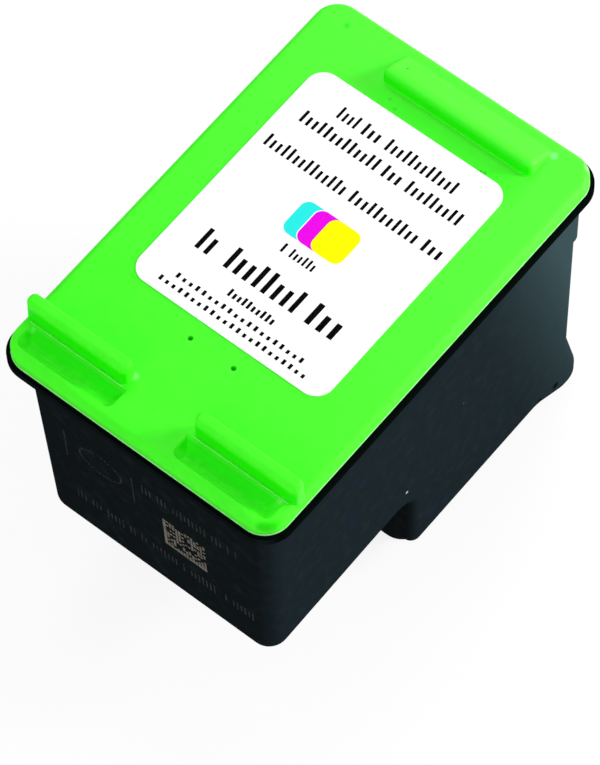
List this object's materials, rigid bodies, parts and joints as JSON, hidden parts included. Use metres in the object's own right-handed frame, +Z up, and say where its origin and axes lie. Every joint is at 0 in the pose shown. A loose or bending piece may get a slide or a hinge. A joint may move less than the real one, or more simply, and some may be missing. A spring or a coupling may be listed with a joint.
{
  "type": "inkjet ink cartridge",
  "caption": "Colour inkjet ink cartridge: stepped black tub with a print head and contact face, under a bright green lid with grip ribs and a label of plain print.",
  "frame": {"origin": "centre of the bounding box at its lowest face, the face of the head land that the part rests on", "axes": "+Z up towards the lid; +Y towards the back wall with the electrical contacts; +X to the right seen from the front"},
  "size_m": [0.0352, 0.0538, 0.0488],
  "materials": {
    "tub": "fine matt, near black",
    "lid": "satin bright green",
    "label_paper": "smooth coated white",
    "print_black": "flat black print",
    "print_cyan": "flat print",
    "print_magenta": "flat print",
    "print_yellow": "flat print",
    "foam_magenta": "open sponge, soaked",
    "foam_cyan": "open sponge, soaked",
    "foam_yellow": "open sponge, soaked",
    "filter_mesh": "fine woven mesh",
    "die": "polished silicon",
    "adhesive": "dull",
    "nozzle_plate": "gold plated, satin",
    "flex": "amber polyimide film",
    "gold": "gold plated",
    "bead": "glossy encapsulant"
  },
  "bodies": {
    "root": {"body": "tub", "lid": "lid", "label": "label_paper", "label_bars": "print_black", "colour_cyan": "print_cyan", "colour_magenta": "print_magenta", "colour_yellow": "print_yellow", "foam_magenta": "foam_magenta", "foam_cyan": "foam_cyan", "foam_yellow": "foam_yellow", "filter_magenta": "filter_mesh", "filter_cyan": "filter_mesh", "filter_yellow": "filter_mesh", "printhead_die": "die", "die_adhesive": "adhesive", "nozzle_plate": "nozzle_plate", "flex_circuit": "flex", "contact_pads": "gold", "encapsulant_beads": "bead"}
  },
  "joints": []
}
